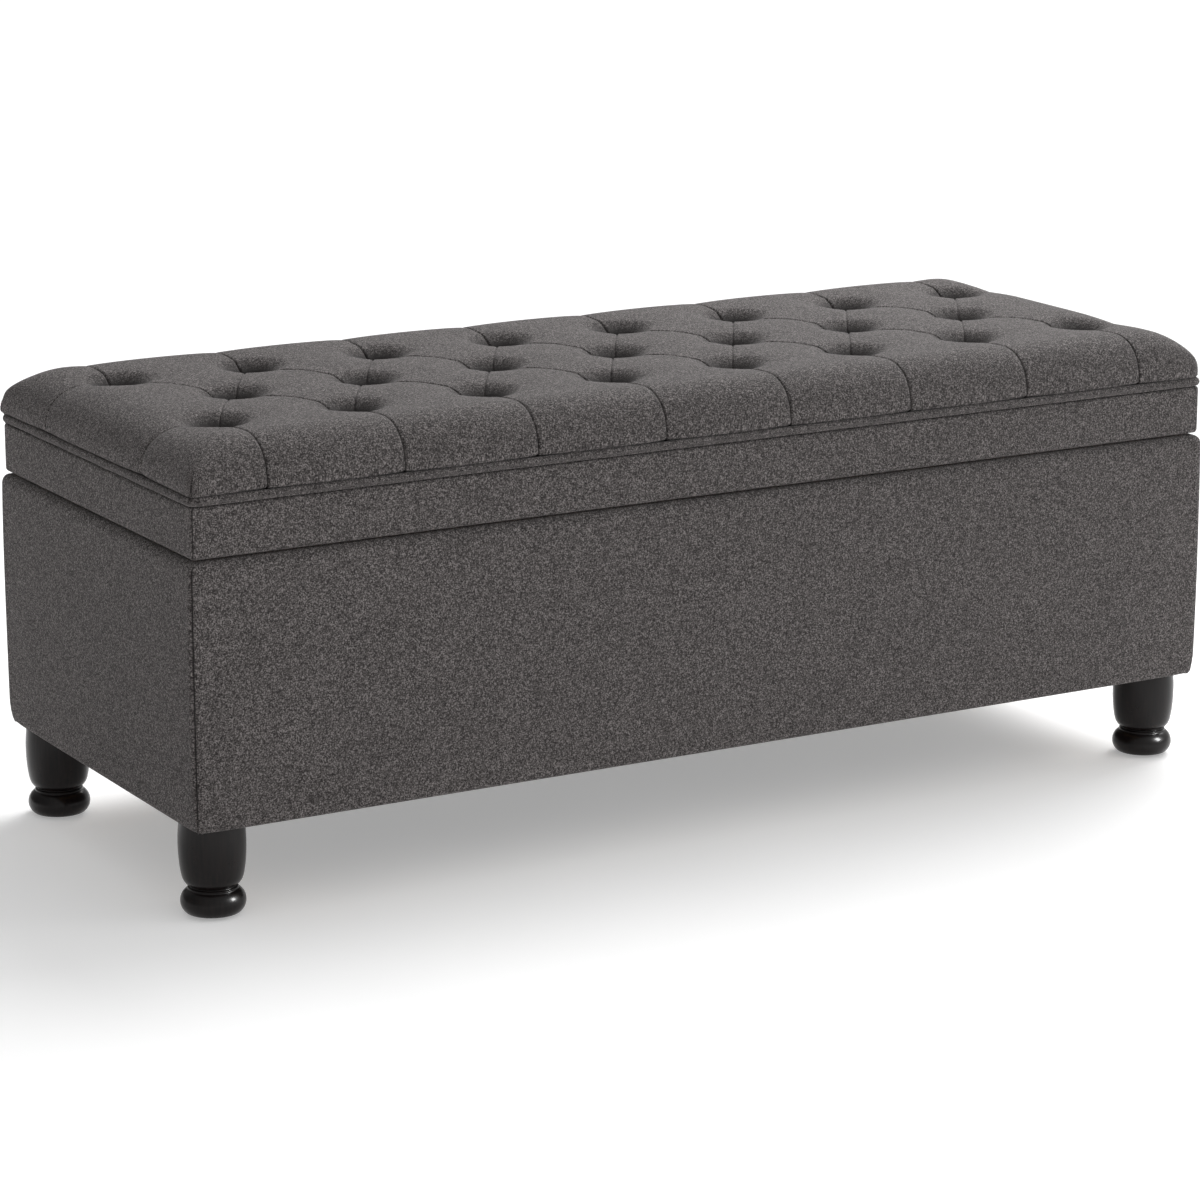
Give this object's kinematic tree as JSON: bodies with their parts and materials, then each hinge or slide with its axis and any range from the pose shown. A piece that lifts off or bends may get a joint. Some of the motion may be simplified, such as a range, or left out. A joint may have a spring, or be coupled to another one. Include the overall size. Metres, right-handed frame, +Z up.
{
  "type": "storage bench",
  "caption": "Upholstered storage bench with a diamond-tufted, piped, hinged lid on gas struts over a fabric-covered box, standing on short turned legs.",
  "frame": {"origin": "on the floor below the middle of the bench", "axes": "X along the bench, to the right seen from the front; Y from front to rear, so the front faces -Y; Z up"},
  "size_m": [1.27, 0.5, 0.507],
  "materials": {
    "upholstery": "charcoal grey heathered plain weave",
    "leg_wood": "espresso stain, semi-gloss lacquer",
    "board": "raw engineered board and pine",
    "lining": "black spun non-woven lining",
    "steel": "zinc plated",
    "strut_body": "black paint, satin",
    "glide": "moulded nylon"
  },
  "bodies": {
    "base": {"base_front_panel": "board", "base_back_panel": "board", "base_left_panel": "board", "base_right_panel": "board", "base_bottom_panel": "board", "base_cover": "upholstery", "storage_lining": "lining", "dust_cover": "lining", "corner_block_front_left": "board", "corner_block_front_right": "board", "corner_block_rear_left": "board", "corner_block_rear_right": "board", "leg_front_left": "leg_wood", "leg_front_right": "leg_wood", "leg_rear_left": "leg_wood", "leg_rear_right": "leg_wood", "leg_glide_front_left": "glide", "leg_glide_front_right": "glide", "leg_glide_rear_left": "glide", "leg_glide_rear_right": "glide", "hinge_base_leaf": "steel", "hinge_pin": "steel", "strut_foot_bracket_left": "steel", "strut_foot_bracket_right": "steel"},
    "lid": {"lid_frame": "board", "lid_board": "board", "lid_lining": "lining", "lid_band_cover": "upholstery", "lid_piping": "upholstery", "seat_pad": "upholstery", "hinge_lid_leaf": "steel", "strut_head_bracket_left": "steel", "strut_head_bracket_right": "steel", "tuft_button_front_1": "upholstery", "tuft_button_front_2": "upholstery", "tuft_button_front_3": "upholstery", "tuft_button_front_4": "upholstery", "tuft_button_front_5": "upholstery", "tuft_button_front_6": "upholstery", "tuft_button_front_7": "upholstery", "tuft_button_front_8": "upholstery", "tuft_button_middle_1": "upholstery", "tuft_button_middle_2": "upholstery", "tuft_button_middle_3": "upholstery", "tuft_button_middle_4": "upholstery", "tuft_button_middle_5": "upholstery", "tuft_button_middle_6": "upholstery", "tuft_button_middle_7": "upholstery", "tuft_button_rear_1": "upholstery", "tuft_button_rear_2": "upholstery", "tuft_button_rear_3": "upholstery", "tuft_button_rear_4": "upholstery", "tuft_button_rear_5": "upholstery", "tuft_button_rear_6": "upholstery", "tuft_button_rear_7": "upholstery", "tuft_button_rear_8": "upholstery"},
    "strut_tube_left": {"strut_tube_left": "strut_body"},
    "strut_tube_right": {"strut_tube_right": "strut_body"},
    "strut_rod_left": {"strut_rod_left": "steel"},
    "strut_rod_right": {"strut_rod_right": "steel"}
  },
  "joints": [
    {"name": "lid_hinge", "type": "hinge", "parent": "base", "child": "lid", "pos_m": [0, 0.2464, 0.38665], "axis": [-1, 0, 0], "range_deg": [0, 80]},
    {"name": "strut_swing_left", "type": "hinge", "parent": "base", "child": "strut_tube_left", "pos_m": [-0.598, 0.0864, 0.27165], "axis": [-1, 0, 0], "range_deg": [0, 4.5]},
    {"name": "strut_slide_left", "type": "slide", "parent": "strut_tube_left", "child": "strut_rod_left", "axis": [0, 0.6488, 0.7609], "range_m": [0, 0.067]},
    {"name": "strut_swing_right", "type": "hinge", "parent": "base", "child": "strut_tube_right", "pos_m": [0.598, 0.0864, 0.27165], "axis": [-1, 0, 0], "range_deg": [0, 4.5]},
    {"name": "strut_slide_right", "type": "slide", "parent": "strut_tube_right", "child": "strut_rod_right", "axis": [0, 0.6488, 0.7609], "range_m": [0, 0.067]}
  ],
  "couplings": [
    {"joint": "strut_swing_left", "follows": "lid_hinge", "ratio": 0.053435},
    {"joint": "strut_slide_left", "follows": "lid_hinge", "m_per_rad": 0.046605},
    {"joint": "strut_swing_right", "follows": "lid_hinge", "ratio": 0.053435},
    {"joint": "strut_slide_right", "follows": "lid_hinge", "m_per_rad": 0.046605}
  ]
}
